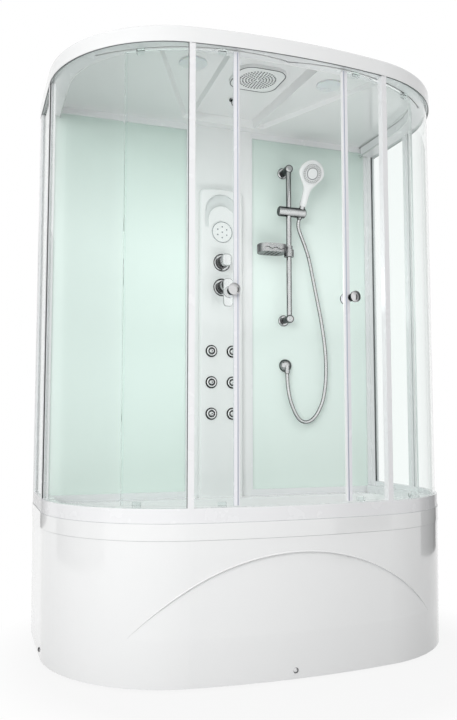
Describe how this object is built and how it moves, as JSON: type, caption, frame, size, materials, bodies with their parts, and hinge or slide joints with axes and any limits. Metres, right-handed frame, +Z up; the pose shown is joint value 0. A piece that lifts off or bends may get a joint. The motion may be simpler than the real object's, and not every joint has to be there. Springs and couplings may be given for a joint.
{
  "type": "shower cabin",
  "caption": "Corner-rounded shower cabin: deep tub with apron, bowed glass walls, sliding curved doors, control column, riser set and roof with rain head.",
  "frame": {"origin": "on the floor, in the middle of the cabin's width and depth", "axes": "+X to the right as seen from the front, +Y to the rear wall, +Z up"},
  "size_m": [1.5, 0.81, 2.125],
  "materials": {
    "white_acrylic": "gloss",
    "white_enamel": "satin enamel",
    "clear_glass": "clear, tempered",
    "frosted_glass": "frosted, mint",
    "chrome": "polished",
    "white_plastic": "gloss",
    "pale_spray": "satin",
    "grey_nozzle": "matt",
    "seal": "translucent grey",
    "lamp_lens": "opal",
    "zinc_steel": "galvanised",
    "foot_plastic": "matt",
    "pipe_grey": "matt",
    "roller_nylon": "nylon"
  },
  "bodies": {
    "cabin": {"tub_shell": "white_acrylic", "apron_panel": "white_acrylic", "apron_screws": "chrome", "tub_frame": "zinc_steel", "levelling_feet": "foot_plastic", "waste_fitting": "chrome", "waste_trap": "pipe_grey", "bottom_rail": "white_enamel", "top_rail": "white_enamel", "roof_shell": "white_acrylic", "rear_frame": "white_enamel", "rear_glass": "frosted_glass", "rear_posts": "white_enamel", "mid_posts": "white_enamel", "door_jambs": "white_enamel", "side_glass": "clear_glass", "corner_glass": "clear_glass", "control_column": "white_acrylic", "keypad_panel": "white_plastic", "valve_bodies": "chrome", "jet_bezels": "chrome", "supply_pipes": "pipe_grey", "control_box": "foot_plastic", "riser_tube": "chrome", "riser_brackets": "chrome", "hose_outlet": "chrome", "shower_hose": "chrome", "rain_head": "pale_spray", "roof_lights": "lamp_lens", "roof_spout": "chrome"},
    "left_door": {"door_glass_left": "clear_glass", "door_edge_left": "white_enamel", "door_seal_left": "seal", "door_knob_left": "chrome", "door_hangers_left": "roller_nylon"},
    "right_door": {"door_glass_right": "clear_glass", "door_edge_right": "white_enamel", "door_seal_right": "seal", "door_knob_right": "chrome", "door_hangers_right": "roller_nylon"},
    "plug": {"drain_plug": "chrome"},
    "diverter": {"diverter_knob": "chrome"},
    "mixer": {"mixer_cap": "chrome"},
    "lever": {"mixer_lever": "chrome"},
    "slider": {"slider_barrel": "chrome"},
    "cradle": {"shower_cradle": "chrome", "handset_body": "white_plastic"},
    "spray_face": {"handset_face": "pale_spray"},
    "collar": {"dish_collar": "chrome"},
    "dish": {"soap_dish": "chrome"},
    "left_lead_roller": {"roller_lead_left": "roller_nylon"},
    "left_tail_roller": {"roller_tail_left": "roller_nylon"},
    "right_lead_roller": {"roller_lead_right": "roller_nylon"},
    "right_tail_roller": {"roller_tail_right": "roller_nylon"},
    "jet_1": {"jet_nozzle_1": "grey_nozzle"},
    "jet_2": {"jet_nozzle_2": "grey_nozzle"},
    "jet_3": {"jet_nozzle_3": "grey_nozzle"},
    "jet_4": {"jet_nozzle_4": "grey_nozzle"},
    "jet_5": {"jet_nozzle_5": "grey_nozzle"},
    "jet_6": {"jet_nozzle_6": "grey_nozzle"}
  },
  "joints": [
    {"name": "left_door_slide", "type": "hinge", "parent": "cabin", "child": "left_door", "pos_m": [-0.148, 0.323, 1.2], "axis": [0, 0, -1], "range_deg": [-15.4, 8]},
    {"name": "left_lead_roller_spin", "type": "hinge", "parent": "left_door", "child": "left_lead_roller", "pos_m": [-0.24417, -0.36128, 2.0333], "axis": [-0.1392, -0.9903, 0], "range_deg": [-1195, 627]},
    {"name": "left_tail_roller_spin", "type": "hinge", "parent": "left_door", "child": "left_tail_roller", "pos_m": [-0.49454, -0.27482, 2.0333], "axis": [-0.5015, -0.8652, 0], "range_deg": [-1195, 627]},
    {"name": "right_door_slide", "type": "hinge", "parent": "cabin", "child": "right_door", "pos_m": [0.148, 0.323, 1.2], "axis": [0, 0, 1], "range_deg": [-15.4, 8]},
    {"name": "right_lead_roller_spin", "type": "hinge", "parent": "right_door", "child": "right_lead_roller", "pos_m": [0.24417, -0.36128, 2.0333], "axis": [-0.1392, 0.9903, 0], "range_deg": [-1195, 627]},
    {"name": "right_tail_roller_spin", "type": "hinge", "parent": "right_door", "child": "right_tail_roller", "pos_m": [0.49454, -0.27482, 2.0333], "axis": [-0.5015, 0.8652, 0], "range_deg": [-1195, 627]},
    {"name": "jet_1_swivel", "type": "hinge", "parent": "cabin", "child": "jet_1", "pos_m": [-0.046, 0.35, 1.095], "axis": [1, 0, 0], "range_deg": [-15, 15]},
    {"name": "jet_2_swivel", "type": "hinge", "parent": "cabin", "child": "jet_2", "pos_m": [0.046, 0.35, 1.095], "axis": [1, 0, 0], "range_deg": [-15, 15]},
    {"name": "jet_3_swivel", "type": "hinge", "parent": "cabin", "child": "jet_3", "pos_m": [-0.046, 0.35, 0.9655], "axis": [1, 0, 0], "range_deg": [-15, 15]},
    {"name": "jet_4_swivel", "type": "hinge", "parent": "cabin", "child": "jet_4", "pos_m": [0.046, 0.35, 0.9655], "axis": [1, 0, 0], "range_deg": [-15, 15]},
    {"name": "jet_5_swivel", "type": "hinge", "parent": "cabin", "child": "jet_5", "pos_m": [-0.046, 0.35, 0.836], "axis": [1, 0, 0], "range_deg": [-15, 15]},
    {"name": "jet_6_swivel", "type": "hinge", "parent": "cabin", "child": "jet_6", "pos_m": [0.046, 0.35, 0.836], "axis": [1, 0, 0], "range_deg": [-15, 15]},
    {"name": "plug_press", "type": "slide", "parent": "cabin", "child": "plug", "axis": [0, 0, -1], "range_m": [0, 0.008]},
    {"name": "diverter_turn", "type": "hinge", "parent": "cabin", "child": "diverter", "pos_m": [0, 0.31, 1.469], "axis": [0, -1, 0], "range_deg": [-90, 90]},
    {"name": "mixer_turn", "type": "hinge", "parent": "cabin", "child": "mixer", "pos_m": [0, 0.31, 1.364], "axis": [0, -1, 0], "range_deg": [-45, 45]},
    {"name": "lever_lift", "type": "hinge", "parent": "mixer", "child": "lever", "pos_m": [0, 0.2857, 1.364], "axis": [-1, 0, 0], "range_deg": [0, 18]},
    {"name": "slider_height", "type": "slide", "parent": "cabin", "child": "slider", "axis": [0, 0, 1], "range_m": [-0.07, 0.11], "deforming": ["shower_hose"]},
    {"name": "cradle_tilt", "type": "hinge", "parent": "slider", "child": "cradle", "pos_m": [0.352, 0.32, 1.707], "axis": [1, 0, 0], "range_deg": [-10, 25], "deforming": ["shower_hose"]},
    {"name": "spray_select", "type": "hinge", "parent": "cradle", "child": "spray_face", "pos_m": [0.37432, 0.25519, 1.86584], "axis": [-0.0521, -0.9272, -0.371], "range_deg": [0, 80]},
    {"name": "collar_height", "type": "slide", "parent": "cabin", "child": "collar", "axis": [0, 0, 1], "range_m": [-0.2, 0.03]},
    {"name": "dish_swivel", "type": "hinge", "parent": "collar", "child": "dish", "pos_m": [0.295, 0.32, 1.5335], "axis": [0, 0, 1], "range_deg": [0, 90]}
  ],
  "couplings": [
    {"joint": "left_lead_roller_spin", "follows": "left_door_slide", "ratio": 76.778},
    {"joint": "left_tail_roller_spin", "follows": "left_door_slide", "ratio": 76.778},
    {"joint": "right_lead_roller_spin", "follows": "right_door_slide", "ratio": 76.778},
    {"joint": "right_tail_roller_spin", "follows": "right_door_slide", "ratio": 76.778}
  ]
}
